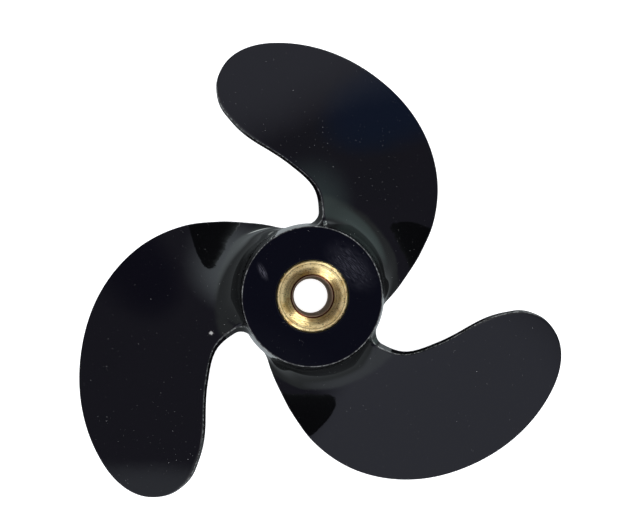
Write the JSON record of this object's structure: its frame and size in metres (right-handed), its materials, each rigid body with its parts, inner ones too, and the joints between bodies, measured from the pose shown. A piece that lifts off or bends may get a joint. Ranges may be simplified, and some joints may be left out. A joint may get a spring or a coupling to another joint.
{
  "type": "small outboard boat propeller",
  "caption": "Right-hand boat propeller in black enamelled aluminium, with swept blades, a flared hub, a rubber bushing and a brass inner hub bored for the shaft.",
  "frame": {"origin": "on the shaft axis at the centre of volume, 33 mm aft of the hub's forward end face", "axes": "+Z along the shaft axis pointing aft, the side the picture is taken from; +X right and +Y up in the picture"},
  "size_m": [0.1772, 0.166, 0.0698],
  "materials": {
    "enamelled_casting": "gloss black enamel on cast aluminium",
    "rubber_bushing": "matt black moulded rubber",
    "turned_brass": "turned brass with tool marks and light tarnish"
  },
  "bodies": {
    "root": {"propeller_casting": "enamelled_casting", "rubber_bushing": "rubber_bushing", "brass_inner_hub": "turned_brass"}
  },
  "joints": []
}
